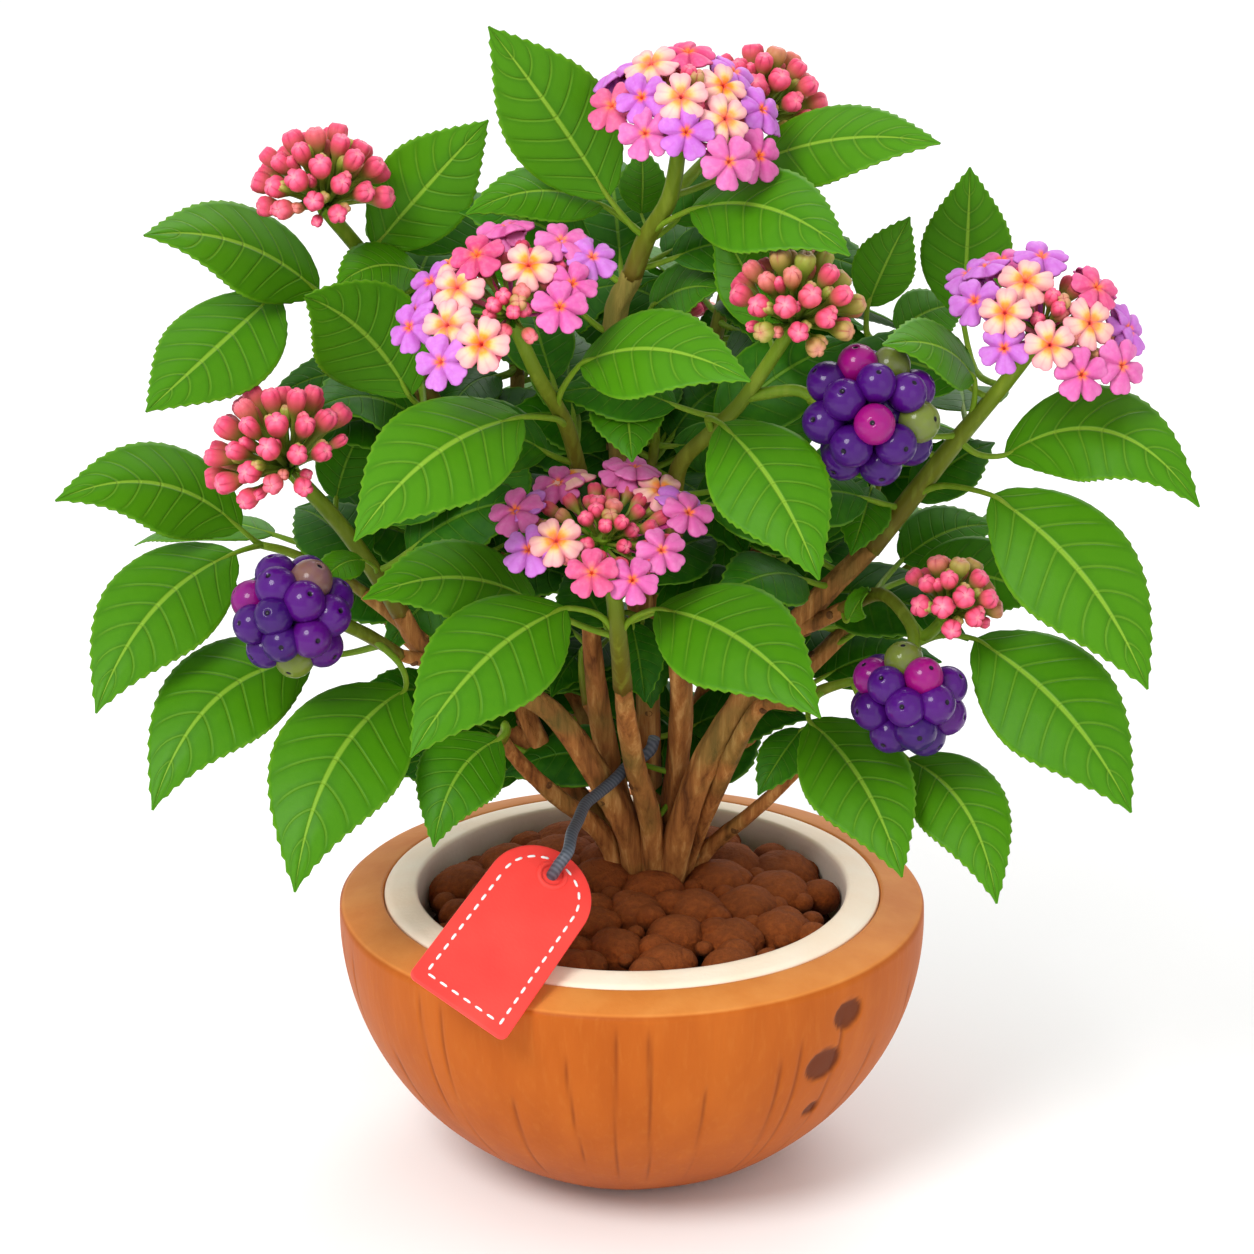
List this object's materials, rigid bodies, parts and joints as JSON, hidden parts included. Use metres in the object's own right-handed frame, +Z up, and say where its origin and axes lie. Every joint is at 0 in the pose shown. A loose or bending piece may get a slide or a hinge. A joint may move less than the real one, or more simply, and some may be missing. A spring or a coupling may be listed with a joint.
{
  "type": "potted lantana",
  "caption": "Flowering lantana shrub with pink bloom heads and purple berries, growing from soil in a half coconut shell pot, with a blank tag on a cord.",
  "frame": {"origin": "middle of the pot's small flat foot, on the surface that it stands on", "axes": "+Z up, out of the pot; -Y towards the side with the tag, which is the front; +X to the right seen from the front"},
  "size_m": [0.2442, 0.1906, 0.268],
  "materials": {
    "coconut_shell": "smoothed orange-brown shell, satin",
    "coconut_flesh": "cream, smooth, half matte",
    "soil": "dark reddish brown, matte, moist",
    "bark": "brown bark with tan streaks, matte",
    "leaf": "bright green with lighter veins, half matte",
    "petal": "lavender pink and cream petals, soft",
    "bud": "hot pink closed buds, soft",
    "berry": "dark purple, glossy",
    "tag_red": "red, blank, with a white stitched line",
    "cord_grey": "dark blue grey, smooth, half matte"
  },
  "bodies": {
    "root": {"pot_shell": "coconut_shell", "pot_lining": "coconut_flesh", "soil": "soil", "woody_stems": "bark", "tag": "tag_red", "tag_knot": "cord_grey", "tag_cord": "cord_grey", "head_front": "petal", "head_mid_left": "petal", "head_top": "petal", "head_right": "petal", "head_back_middle": "petal", "buds_upper_left": "bud", "buds_left": "bud", "buds_top": "bud", "buds_mid_right": "bud", "buds_low_right": "bud", "buds_back_top": "bud", "berries_left": "berry", "berries_right": "berry", "berries_low_right": "berry", "shoot_front": "leaf", "shoot_mid_left": "leaf", "shoot_top": "leaf", "shoot_upper_left": "leaf", "shoot_left_high": "leaf", "shoot_left": "leaf", "shoot_left_low": "leaf", "shoot_left_berry": "leaf", "shoot_low_left": "leaf", "shoot_right": "leaf", "shoot_mid_right": "leaf", "shoot_right_behind": "leaf", "shoot_right_low": "leaf", "shoot_low_right": "leaf", "shoot_far_low_right": "leaf", "shoot_inner_centre": "leaf", "shoot_inner_left": "leaf", "shoot_inner_right": "leaf", "shoot_inner_low": "leaf", "shoot_back_right": "leaf", "shoot_back_far_right": "leaf", "shoot_back_middle": "leaf", "shoot_back_left": "leaf", "shoot_back_far_left": "leaf", "shoot_back_top": "leaf", "shoot_back_top_left": "leaf"}
  },
  "joints": []
}
